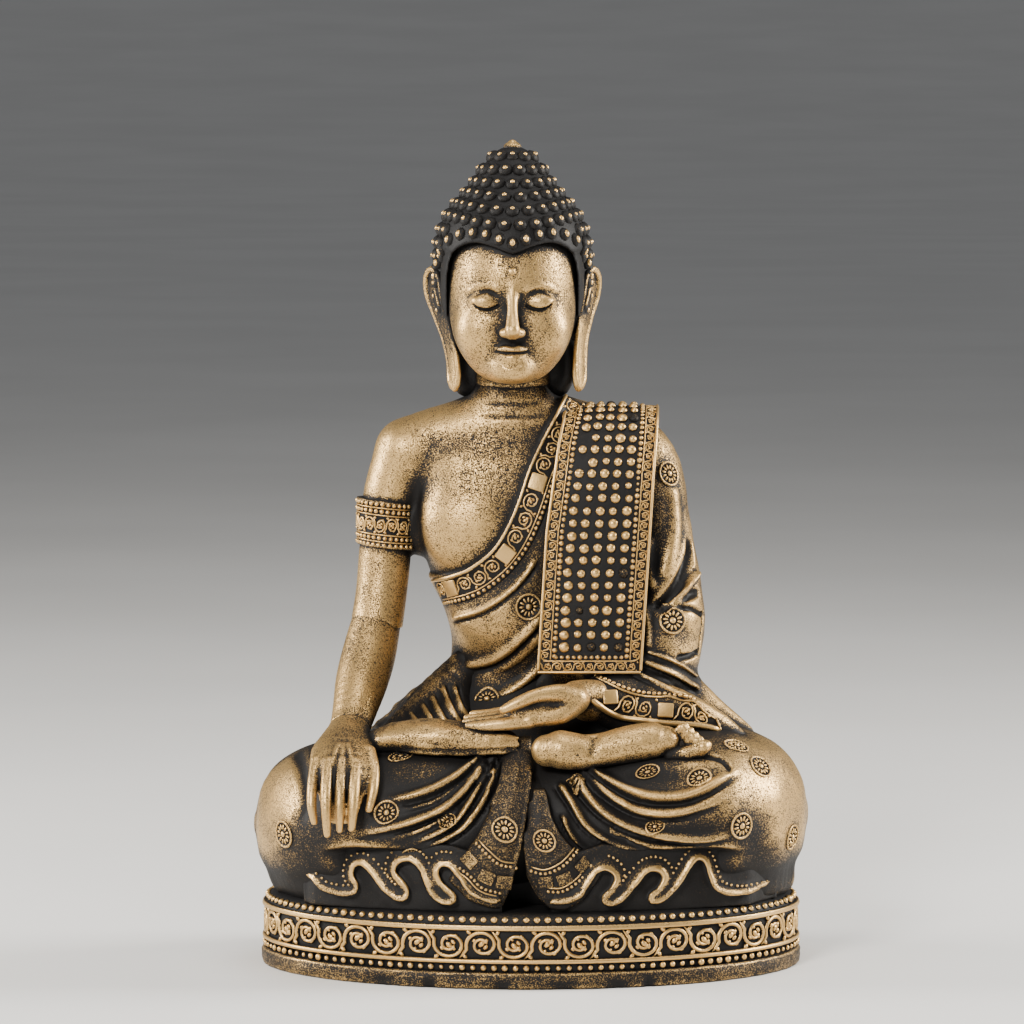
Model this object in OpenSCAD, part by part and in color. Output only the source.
// Seated statue on an oval plinth: right hand reaching down over the knee, left hand
// and one foot lying in the lap, a patterned robe and a folded shawl on the left shoulder.
// Millimetres. +X is the viewer's right, +Y is away from the viewer, +Z is up.
// The origin is the middle of the plinth's underside.

/* [Plinth] */
// Width of the oval plinth at its foot
plinth_w = 130.4; // [126:0.2:134]
// Depth of the oval plinth at its foot
plinth_d = 88.4; // [84:0.2:92]
// Height of the plinth's flat top
plinth_h = 17.5; // [17:0.1:18]
// How far the bands stand out from the plinth's wall
band_relief = 0.8; // [0.4:0.1:1.2]
// Number of beads in the upper row
upper_beads = 134; // [100:1:150]
// Number of beads in the lower row
lower_beads = 134; // [90:1:150]
// Number of scrolls in the frieze
scrolls = 40; // [24:2:44]
// Thickness of the felt pad under the plinth
felt_t = 1.5; // [1:0.1:2.5]

/* [Shawl] */
// Studs across the shawl
stud_columns = 5; // [3:1:6]
// Studs down the shawl
stud_rows = 20; // [12:1:22]
// Thickness of the folded shawl
shawl_t = 2.2; // [1.6:0.1:3]

/* [Hair] */
// Rows of curls from the hairline to the top
curl_rows = 9; // [6:1:10]
// Curls in the widest row
curls_round = 36; // [24:2:40]

/* [Surface] */
// Sides of the smooth limbs
limb_sides = 20; // [16:2:28]

/* [Hidden] */
$fn = 48;

bronze = [0.62, 0.48, 0.29];
dark = [0.10, 0.09, 0.09];
felt = [0.12, 0.20, 0.14];

half_w = plinth_w / 2;
half_d = plinth_d / 2;
wall_w = half_w - band_relief;
wall_d = half_d - band_relief;
foot_band_h = 4;
lower_bead_z = 5.1;
lower_bead_r = 0.7;
lower_fillet_z = 6.2;
fillet_h = 0.7;
frieze_z = 7;
upper_fillet_z = 14.1;
upper_bead_z = 16.1;
upper_bead_r = 0.95;
scroll_t = 0.5;
felt_inset = 3;

// The figure's own middle stands a little to the right of the plinth's.
axis_x = -4.5;

// Stations are [x, y, z, half-size across, half-size along].
torso_stations = [
    [axis_x, 12, 52, 23, 17], [axis_x, 12, 62, 19, 15], [axis_x, 12, 74, 15, 12.5],
    [axis_x, 12, 84, 16.5, 13.5], [axis_x, 12, 93, 20.5, 16], [axis_x, 12, 104, 24, 17.5],
    [axis_x, 12, 114, 27, 16.5], [axis_x, 11, 121, 30, 14], [axis_x, 10, 126, 29, 11.5],
    [axis_x, 9, 130, 22, 9.5], [axis_x, 9, 133, 13, 8.5]
];
neck_stations = [
    [axis_x, 9, 133, 11.4, 9.8], [axis_x, 8.8, 134.6, 10.2, 9], [axis_x, 8.7, 135.2, 9.7, 8.6],
    [axis_x, 8.6, 135.8, 10, 8.8], [axis_x, 8.3, 138, 9.6, 8.5], [axis_x, 8.2, 138.6, 9.1, 8.1],
    [axis_x, 8.1, 139.2, 9.5, 8.4], [axis_x, 7.5, 147, 9, 8.2]
];
head_stations = [
    [axis_x, -5, 139.6, 3, 3.4], [axis_x, -3.6, 140.6, 7, 6.4], [axis_x, -1.6, 143, 10.4, 9.6],
    [axis_x, 1, 147, 13, 13], [axis_x, 3.6, 152, 15.2, 16.2], [axis_x, 5.4, 158, 16.6, 18.4],
    [axis_x, 6.2, 165, 17.2, 19], [axis_x, 6.6, 171.5, 16.6, 18.2], [axis_x, 7, 178, 13.6, 14.6],
    [axis_x, 7.4, 183, 8, 8.6]
];
hair_stations = [
    [axis_x, 10, 149, 14.8, 14.8], [axis_x, 9, 154, 17, 17.6], [axis_x, 8, 161, 18.6, 19.8],
    [axis_x, 7.2, 168, 19.2, 20.6], [axis_x, 7, 173, 18.8, 20.2], [axis_x, 7, 177.5, 16.8, 18.2],
    [axis_x, 7.2, 181.5, 13.6, 14.6], [axis_x, 7.6, 185.5, 10.4, 11], [axis_x, 8, 189.5, 8, 8.4],
    [axis_x, 8, 193.2, 5.4, 5.6], [axis_x, 8, 195.5, 2.6, 2.6]
];
seat_stations = [
    [-1, 5, plinth_h, 44, 29], [-1, 5, 24, 47, 31], [-1, 6, 34, 46, 30], [-2, 8, 46, 38, 26],
    [-3, 10, 56, 30, 22], [-4, 12, 64, 22, 17], [axis_x, 12, 68, 16, 12]
];
// Legs run outwards along X: [x, y, z, half-size in Y, half-size in Z].
right_leg_stations = [
    [4, -8, 36, 26, 17], [-8, -8, 36, 28.5, 19], [-20, -8, 36.5, 30, 20.5],
    [-32, -7.5, 36.5, 30.5, 20.5], [-44, -6, 36, 29, 19], [-54, -4, 35, 25, 17],
    [-61, -2, 34, 18, 13.5], [-65, -1, 33.5, 10.5, 8.5], [-66, -1, 33.5, 4, 3.5]
];
left_leg_stations = [
    [5, -8, 37, 26, 17], [14, -8, 37, 28.5, 19], [24, -8, 37.5, 30, 20.5],
    [35, -7.5, 38, 30.5, 21], [46, -6, 38, 29, 20], [55, -4, 37, 25, 18],
    [61.5, -2, 36.5, 18, 14], [65.2, -1, 36, 10.5, 8.5], [66, -1, 36, 4, 3.5]
];
upper_arm_stations = [
    [-27, 11, 124, 6, 5], [-31, 10.5, 121, 8.5, 8], [-33.5, 10, 114, 7.4, 8],
    [-34.8, 9, 104, 6.8, 7], [-35.8, 7.5, 93, 6.6, 6.8], [-36.6, 6, 83, 6.5, 6.6]
];
forearm_stations = [
    [-36.8, 6, 83, 6.7, 6.9], [-38.4, 2, 77, 6.5, 6.6], [-40.4, -4, 70, 5.9, 6],
    [-41.8, -10, 63, 5, 5], [-42.8, -15, 58.4, 4.7, 4.2]
];
palm_stations = [
    [-42.8, -15, 58.4, 4.9, 4.1], [-43.3, -21.5, 56.4, 6.4, 3.5], [-43.6, -27, 53.2, 7.3, 3.1],
    [-43.8, -31.2, 49.8, 7.3, 2.7], [-43.8, -33.6, 46.8, 6.8, 2.2]
];
// Right fingers from thumb side outwards: [x at the knuckle, x at the tip, z at the tip, radius].
right_fingers = [
    [-38.2, -37.8, 38.6, 1.3], [-41.1, -41.4, 35.8, 1.45], [-43.8, -44.4, 35.4, 1.5],
    [-46.5, -47.6, 36, 1.45], [-49, -50.4, 37.8, 1.3]
];
sleeve_stations = [
    [22, 11, 127, 7, 6], [28, 11, 123, 9, 9], [31.5, 10.5, 113, 9.2, 10],
    [33, 9.5, 101, 9.4, 10.4], [34, 8, 89, 9.6, 10.8], [33.5, 4, 78, 9.6, 11.4],
    [29, -3, 71, 9.4, 9.6], [22, -10, 67.5, 7.6, 7], [14, -15.5, 66.5, 5, 4.6]
];
left_palm_stations = [
    [13, -15.5, 66.6, 2.6, 3], [9, -17.5, 66.8, 3.2, 4.4], [3, -19.5, 65.2, 2.8, 5],
    [-3, -21, 63.6, 2.2, 4.8]
];
foot_stations = [
    [1.5, -27, 53, 2.5, 2.5], [4, -27, 53, 5.6, 5.4], [9, -27, 53.4, 6.4, 6],
    [16, -27, 53.6, 5.8, 5.2], [24, -26, 54.6, 6.2, 5.4], [32, -24.5, 55.8, 6.4, 5.4],
    [37, -23, 56.4, 4, 4]
];
left_foot_stations = [
    [-36, -18, 58, 3, 2.4], [-30, -20, 58.6, 5.4, 4], [-20, -22, 58.8, 6, 4.2],
    [-10, -23.5, 58.2, 5.6, 3.8], [-3, -24, 57.4, 3.6, 2.6]
];
// Points on the body that the flat bands follow: [x, y, z].
chest_border_path = [
    [8, -4.5, 129], [4.5, -7.5, 118], [0, -8.6, 108], [-7, -7.8, 99.5],
    [-16, -4.6, 94], [-23.5, 3, 91.5]
];
lap_border_path = [
    [8, -23, 69.5], [15, -24, 65.5], [24, -24, 62.6], [34, -21, 61.6], [44, -14, 61]
];
waist_path = [
    [-17.5, 0, 81], [-10, -3.8, 77.6], [-2, -4, 78.4], [6, -2, 82]
];
shawl_top_z = 133;
shawl_low_z = 72;
// Left and right edges of the shawl, at the shoulder and at its lower end.
shawl_left = [9.5, 1.5];
shawl_right = [31, 26.4];
// The shawl's outer face seen from the side: up the chest, over the shoulder, down the back.
shawl_path = [
    [-11.5, 72], [-11, 84], [-10.3, 96], [-9.4, 107], [-8, 117], [-5.4, 125], [-0.8, 131],
    [6, 133.6], [13, 132.2], [18.6, 127.4], [22.4, 119], [24.4, 109], [25, 99]
];

function unit(v) = v / norm(v);
function heading(s, i) = unit(
    [for (k = [0:2]) s[min(i + 1, len(s) - 1)][k] - s[max(i - 1, 0)][k]]
);
// A ring of points round one station, square to the way the limb runs.
function limb_ring(s, i, across, sides) = let (
    dir = heading(s, i),
    u = unit(across - dir * (across * dir)),
    v = cross(dir, u),
    middle = [s[i][0], s[i][1], s[i][2]]
) [for (k = [0:sides - 1]) middle + u * s[i][3] * cos(360 * k / sides)
    + v * s[i][4] * sin(360 * k / sides)];
function side_faces(rings, sides) = [for (i = [0:rings - 2]) for (k = [0:sides - 1])
    let (n = (k + 1) % sides)
    for (f = [[i * sides + k, (i + 1) * sides + k, (i + 1) * sides + n],
              [i * sides + k, (i + 1) * sides + n, i * sides + n]]) f];
function end_faces(rings, sides) = [
    [for (k = [0:sides - 1]) k],
    [for (k = [sides - 1:-1:0]) (rings - 1) * sides + k]
];

// A smooth limb through stations; across gives the direction of the first half-size.
module limb(s, across = [1, 0, 0], sides = limb_sides) {
    polyhedron(
        points = [for (i = [0:len(s) - 1]) for (p = limb_ring(s, i, across, sides)) p],
        faces = concat(side_faces(len(s), sides), end_faces(len(s), sides)),
        convexity = 6
    );
}

// One mesh of what it holds, at its own size.
module one_mesh() {
    resize([0, 0, 0]) children();
}

oval_sides = 120;

module oval_outline(w, d) {
    polygon([for (i = [0:oval_sides - 1]) [w * cos(360 * i / oval_sides), d * sin(360 * i / oval_sides)]]);
}

// A plate with the plinth's oval outline.
module oval(w, d, h) {
    linear_extrude(h) oval_outline(w, d);
}

module oval_band(z, h, out_w, out_d) {
    translate([0, 0, z]) linear_extrude(h) difference() {
        oval_outline(out_w, out_d);
        oval_outline(wall_w, wall_d);
    }
}

// Distance round the plinth's wall against angle, so that what repeats is evenly spaced.
function wall_step(t) = norm([wall_w * sin(t), wall_d * cos(t)]) * PI / 180;
wall_table = [for (t = 0, s = 0; t <= 360; s = s + wall_step(t + 0.5), t = t + 1) [s, t]];
wall_round = wall_table[360][0];

// Puts its children on the plinth's wall, facing out, the given share of the way round.
module on_wall(share, z) {
    t = lookup(share * wall_round, wall_table);
    turn = atan2(wall_w * sin(t), wall_d * cos(t));
    translate([wall_w * cos(t), wall_d * sin(t), z]) rotate([90, 0, turn + 90]) children();
}

// A half-ball with its flat side down.
module dome(r) {
    rotate_extrude($fn = 24) intersection() {
        circle(r = r);
        square(r);
    }
}

module felt_pad() {
    color(felt) oval(wall_w - felt_inset, wall_d - felt_inset, felt_t);
}

module plinth_body() {
    color(dark) difference() {
        oval(wall_w, wall_d, plinth_h);
        translate([0, 0, -1]) oval(wall_w - felt_inset, wall_d - felt_inset, felt_t + 1);
    }
}

module plinth_foot_band() {
    color(bronze) oval_band(0, foot_band_h, half_w, half_d);
}

module bead_row(count, z, r) {
    for (i = [0:count - 1]) on_wall(i / count, z) dome(r);
}

module plinth_lower_beads() {
    color(bronze) bead_row(lower_beads, lower_bead_z, lower_bead_r);
}

module plinth_upper_beads() {
    color(bronze) bead_row(upper_beads, upper_bead_z, upper_bead_r);
}

module plinth_lower_fillet() {
    color(bronze) oval_band(lower_fillet_z, fillet_h, half_w - 0.2, half_d - 0.2);
}

module plinth_upper_fillet() {
    color(bronze) oval_band(upper_fillet_z, fillet_h, half_w - 0.2, half_d - 0.2);
}

// One scroll: an open ring with a smaller curl inside it.
module scroll(r) {
    rotate_extrude(angle = 290) translate([r - 0.5, 0]) square([0.5, scroll_t]);
    rotate([0, 0, 160]) translate([r * 0.22, 0, 0])
        rotate_extrude(angle = 260) translate([r * 0.38, 0]) square([0.45, scroll_t]);
}

module plinth_scroll_frieze() {
    frieze_mid = (lower_fillet_z + fillet_h + upper_fillet_z) / 2;
    color(bronze) for (i = [0:scrolls - 1]) on_wall(i / scrolls, frieze_mid)
        rotate([0, 0, i % 2 == 0 ? 20 : 200]) scroll(3.2);
}

// Everything below the plinth's top, which the figure never enters.
module below_plinth_top() {
    translate([-100, -100, plinth_h - 60]) cube([200, 200, 60]);
}

module seat_mass() {
    limb(seat_stations, sides = 28);
}

module right_leg_mass() {
    limb(right_leg_stations, [0, 1, 0], 24);
}

module left_leg_mass() {
    limb(left_leg_stations, [0, 1, 0], 24);
}

module robe_seat() {
    color(dark) one_mesh() difference() {
        seat_mass();
        below_plinth_top();
        right_leg_mass();
        left_leg_mass();
    }
}

module robe_right_leg() {
    color(bronze) one_mesh() difference() {
        right_leg_mass();
        below_plinth_top();
        left_leg_mass();
    }
}

module robe_left_leg() {
    color(bronze) one_mesh() difference() {
        left_leg_mass();
        below_plinth_top();
    }
}

// The wavy lower edge of the robe, standing on the plinth in front of each leg.
function hem_y(x) = -39 * sqrt(max(0, 1 - pow(x / 68, 2)));
function hem_path(side, first, last, waves) = [for (i = [0:waves * 14]) let (
    share = i / (waves * 14),
    x = side * (first + (last - first) * share + 1.6 * sin(720 * waves * share)),
    z = plinth_h + 5.2 + 3.6 * cos(360 * waves * share)
) [x, hem_y(x), z, 1.1, 1.1]];

module hem_edge(side) {
    color(bronze) one_mesh() difference() {
        limb(hem_path(side, 18, 48, 3), [0, 1, 0], 8);
        right_leg_mass();
        left_leg_mass();
    }
}

module hem_edge_right() {
    hem_edge(-1);
}

module hem_edge_left() {
    hem_edge(1);
}

// A cloth panel that hangs from the ankles and fans out at its hem.
module apron_panel(top_x, top_half, low_x, low_half) {
    mid_x = (top_x + low_x) / 2;
    mid_half = (top_half + low_half) / 2;
    color(bronze) one_mesh() difference() {
        limb([[top_x, -34, 52, top_half, 2], [mid_x, -37.5, 36, mid_half, 2.2],
              [low_x, -38.5, 24, low_half, 2.2], [low_x, -38.5, plinth_h, low_half, 2.2]]);
        right_leg_mass();
        left_leg_mass();
    }
}

module apron_panel_right() {
    apron_panel(-3.5, 4, -10.5, 8.5);
}

module apron_panel_left() {
    apron_panel(4.6, 2.5, 7.6, 7.5);
}

// A flower disc: a rim round a raised middle, standing on its flat side.
module rosette(r = 2.3) {
    cylinder(r = r, h = 0.5);
    translate([0, 0, 0.5]) difference() {
        cylinder(r = r, h = 0.35);
        translate([0, 0, -1]) cylinder(r = r - 0.6, h = 3);
    }
    translate([0, 0, 0.5]) dome(0.8);
}

// Puts its children on a leg, at x, turned up from the front by lift degrees.
module on_leg(s, x, lift) {
    flip = s[len(s) - 1][0] < 0 ? -1 : 1;
    table = function (k) [for (p = s) [flip * p[0], p[k]]];
    y = lookup(flip * x, table(1)) - lookup(flip * x, table(3)) * cos(lift);
    z = lookup(flip * x, table(2)) + lookup(flip * x, table(4)) * sin(lift);
    translate([x, y, z]) rotate([90 - lift, 0, 0]) translate([0, 0, -0.2]) children();
}

module robe_rosettes() {
    color(bronze) {
        for (at = [[-59, 0], [-53, 55], [-31, 22], [-35, -4], [-20, 10], [-30, 60]])
            on_leg(right_leg_stations, at[0], at[1]) rosette();
        for (at = [[59, -18], [53, 25], [48, -2], [38, 20], [50, 62], [26, 32], [14, 5]])
            on_leg(left_leg_stations, at[0], at[1]) rosette();
    }
}

module torso_mass() {
    limb(torso_stations, sides = 28);
}

module torso() {
    color(bronze) one_mesh() difference() {
        torso_mass();
        seat_mass();
        right_leg_mass();
        left_leg_mass();
    }
}

// A flat band along a path, with its wide side facing the viewer.
module band(path, half_width, half_thickness) {
    limb([for (p = path) [p[0], p[1], p[2], half_thickness, half_width]], [0, 1, 0], 12);
}

module chest_border() {
    color(bronze) one_mesh() difference() {
        band(chest_border_path, 3.4, 1.5);
        torso_mass();
        shawl_slab();
    }
}

module waist_roll() {
    color(bronze) one_mesh() difference() {
        band(waist_path, 1.6, 1.4);
        torso_mass();
        shawl_slab();
    }
}

module lap_border_solid() {
    band(lap_border_path, 3.8, 1.6);
}

module lap_border() {
    color(bronze) one_mesh() difference() {
        lap_border_solid();
        left_leg_mass();
        limb(sleeve_stations);
        seat_mass();
    }
}

module left_sleeve() {
    color(bronze) one_mesh() difference() {
        limb(sleeve_stations);
        shawl_slab();
        torso_mass();
        seat_mass();
        left_leg_mass();
    }
}

module left_hand() {
    color(bronze) one_mesh() difference() {
        union() {
            limb(left_palm_stations, [0, 0, 1], 16);
            for (f = [0:3])
                limb([[-1, -25 + 2.5 * f, 63.4 + 0.5 * f, 1.6, 1.5],
                      [-10, -26 + 2.4 * f, 62.2 + 0.5 * f, 1.5, 1.4],
                      [-17, -25.4 + 2.2 * f, 61.2 + 0.7 * f, 1.2, 1.1]], [0, 0, 1], 10);
            limb([[7, -21, 69, 2, 2], [-2, -24, 66.8, 1.6, 1.6],
                  [-9.5, -25, 64.6, 1.2, 1.2]], [0, 0, 1], 10);
        }
        limb(sleeve_stations);
    }
}

module right_foot() {
    color(bronze) one_mesh() difference() {
        union() {
            limb(foot_stations, [0, 1, 0], 18);
            for (t = [0:4])
                limb([[35.5, -26.5 + 2 * t, 55.8 + 0.7 * t, 1.8, 1.8],
                      [40.5, -25.5 + 2 * t, 57 + 0.7 * t, 1.5, 1.5],
                      [41.8, -25.2 + 2 * t, 57.2 + 0.7 * t, 0.8, 0.8]], [0, 1, 0], 8);
        }
        left_leg_mass();
        lap_border_solid();
    }
}

module left_foot() {
    color(bronze) one_mesh() difference() {
        limb(left_foot_stations, [0, 1, 0], 18);
        right_leg_mass();
        left_leg_mass();
        seat_mass();
        limb(palm_stations);
    }
}

module right_upper_arm() {
    color(bronze) one_mesh() difference() {
        limb(upper_arm_stations);
        torso_mass();
    }
}

module armlet() {
    color(bronze) one_mesh() difference() {
        translate([-34.9, 9, 103.9]) rotate([4, 4, 0])
            rotate_extrude() translate([7.7, -6.7]) square([1.1, 13.4]);
        torso_mass();
    }
}

module right_forearm() {
    color(bronze) one_mesh() difference() {
        limb(forearm_stations);
        limb(upper_arm_stations);
    }
}

module right_hand() {
    color(bronze) one_mesh() difference() {
        union() {
            limb(palm_stations);
            for (f = right_fingers)
                limb([[f[0], -31.6, 49.4, f[3] + 0.2, f[3]],
                      [(f[0] + f[1]) / 2, -36.2, 43.4, f[3] + 0.2, f[3]],
                      [f[1], -38, f[2] + 2, f[3], f[3]],
                      [f[1], -38.2, f[2], f[3] * 0.6, f[3] * 0.6]], [1, 0, 0], 12);
        }
        right_leg_mass();
        limb(forearm_stations);
    }
}

// The shawl's outline seen from the front.
module shawl_outline(inset = 0) {
    polygon([
        [shawl_left[0] + inset, shawl_top_z + 2], [shawl_right[0] - inset, shawl_top_z + 2],
        [shawl_right[1] - inset, shawl_low_z + inset], [shawl_left[1] + inset, shawl_low_z + inset]
    ]);
}

function path_normal(p, i) = let (
    along = p[min(i + 1, len(p) - 1)] - p[max(i - 1, 0)]
) [-along[1], along[0]] / norm(along);

// A sheet between two distances out from the shawl's outer face, as wide as the figure.
module shawl_sheet(inner, outer) {
    near = [for (i = [0:len(shawl_path) - 1]) shawl_path[i] + path_normal(shawl_path, i) * outer];
    far = [for (i = [len(shawl_path) - 1:-1:0]) shawl_path[i] + path_normal(shawl_path, i) * inner];
    rotate([90, 0, 90]) linear_extrude(50) polygon(concat(near, far));
}

module through_figure() {
    translate([0, 60, 0]) rotate([90, 0, 0]) linear_extrude(120) children();
}

module shawl_slab() {
    intersection() {
        shawl_sheet(-shawl_t, 0);
        through_figure() shawl_outline();
    }
}

module shawl() {
    color(dark) shawl_slab();
}

frame_w = 0.7;
frame_t = 0.6;

module shawl_frame() {
    color(bronze) intersection() {
        shawl_sheet(0, frame_t);
        through_figure() difference() {
            shawl_outline();
            shawl_outline(frame_w);
        }
    }
}

// Length of the shawl's path up to its point i.
function path_length(p, i) = i == 0 ? 0 : path_length(p, i - 1) + norm(p[i] - p[i - 1]);
shawl_lengths = [for (i = [0:len(shawl_path) - 1]) path_length(shawl_path, i)];
function on_path(s, k) = lookup(s, [for (i = [0:len(shawl_path) - 1]) [shawl_lengths[i], shawl_path[i][k]]]);
function normal_on_path(s, k) =
    lookup(s, [for (i = [0:len(shawl_path) - 1]) [shawl_lengths[i], path_normal(shawl_path, i)[k]]]);

// Stands its children on the shawl: across from 0 to 1, and a length up from the lower end.
module on_shawl(across, s) {
    y = on_path(s, 0);
    z = on_path(s, 1);
    up = (z - shawl_low_z) / (shawl_top_z - shawl_low_z);
    low = shawl_left[1] + (shawl_right[1] - shawl_left[1]) * across;
    high = shawl_left[0] + (shawl_right[0] - shawl_left[0]) * across;
    ny = normal_on_path(s, 0);
    nz = normal_on_path(s, 1);
    translate([low + (high - low) * up, y, z]) rotate([atan2(-ny, nz), 0, 0]) children();
}

// The beads and studs stop where the shawl turns over the shoulder.
shawl_front_length = shawl_lengths[6] + 2;

module shawl_beading() {
    beads_down = 46;
    beads_across = 13;
    beading_low = 3;
    pitch = (shawl_front_length - beading_low) / beads_down;
    color(bronze) {
        for (i = [0:beads_down]) for (across = [0.16, 0.84])
            on_shawl(across, beading_low + pitch * i) dome(0.48);
        for (i = [1:beads_across - 1])
            on_shawl(0.16 + 0.68 * i / beads_across, beading_low) dome(0.48);
    }
}

module shawl_studs() {
    stud_low = 5.4;
    pitch = (shawl_front_length - 1 - stud_low) / (stud_rows - 1);
    color(bronze) for (row = [0:stud_rows - 1]) for (column = [0:stud_columns - 1])
        on_shawl(0.26 + 0.48 * column / (stud_columns - 1), stud_low + pitch * row) dome(0.95);
}

module neck() {
    color(bronze) one_mesh() difference() {
        limb(neck_stations);
        torso_mass();
        limb(head_stations, sides = 24);
    }
}

// The hair's cap, open at the face.
module hair_mass() {
    difference() {
        limb(hair_stations, sides = 28);
        hull() for (at = [[147, 11.6], [160.5, 13.2]])
            translate([axis_x, -15, at[0]]) rotate([90, 0, 0])
                cylinder(r = at[1], h = 34, center = true, $fn = 32);
    }
}

module head() {
    color(bronze) one_mesh() difference() {
        limb(head_stations, sides = 24);
        hair_mass();
    }
}

module hair_cap() {
    color(dark) one_mesh() hair_mass();
}

// Half-sizes and middle of the hair at a height.
function hair_at(z, k) = lookup(z, [for (s = hair_stations) [s[2], s[k]]]);

// One curl: a low cone with a small ball on it.
module curl(r) {
    cylinder(r1 = r, r2 = r * 0.55, h = r * 0.8, $fn = 16);
    translate([0, 0, r * 0.8]) dome(r * 0.55);
}

module hair_curls() {
    color(bronze) for (row = [0:curl_rows - 1]) {
        z = 174.5 + 2.3 * row;
        a = hair_at(z, 3);
        b = hair_at(z, 4);
        count = max(5, round(curls_round * a / 19));
        for (i = [0:count - 1]) {
            t = 360 * (i + 0.5 * (row % 2)) / count;
            translate([axis_x + a * cos(t), hair_at(z, 1) + b * sin(t), z])
                rotate([0, 62, atan2(sin(t) / b, cos(t) / a)]) curl(1);
        }
    }
}

module crown_finial() {
    color(bronze) translate([axis_x, 8, 195.5]) {
        cylinder(r1 = 2.4, r2 = 1.9, h = 1.6);
        translate([0, 0, 1.6]) dome(1.9);
    }
}

module ear(side) {
    x = axis_x + side * 18;
    color(bronze) one_mesh() difference() {
        limb([[x - side * 4.4, 5, 138.6, 1.4, 2.2], [x - side * 4, 5, 141.4, 2, 3.2],
              [x - side * 2.8, 5.4, 147, 1.3, 2.6], [x - side * 1.2, 6, 153, 1.6, 2.8],
              [x + side * 0.6, 7, 159.5, 2.2, 4], [x + side * 1, 7.4, 164, 1.8, 3.6],
              [x + side * 0.6, 7.4, 166.6, 0.8, 1.6]]);
        limb(head_stations, sides = 24);
        hair_mass();
    }
}

module right_ear() {
    ear(-1);
}

module left_ear() {
    ear(1);
}

felt_pad();
plinth_body();
plinth_foot_band();
plinth_lower_beads();
plinth_lower_fillet();
plinth_scroll_frieze();
plinth_upper_fillet();
plinth_upper_beads();
robe_seat();
robe_right_leg();
robe_left_leg();
hem_edge_right();
hem_edge_left();
apron_panel_right();
apron_panel_left();
robe_rosettes();
torso();
chest_border();
waist_roll();
lap_border();
left_sleeve();
left_hand();
right_foot();
left_foot();
right_upper_arm();
armlet();
right_forearm();
right_hand();
shawl();
shawl_frame();
shawl_beading();
shawl_studs();
neck();
head();
hair_cap();
hair_curls();
crown_finial();
right_ear();
left_ear();
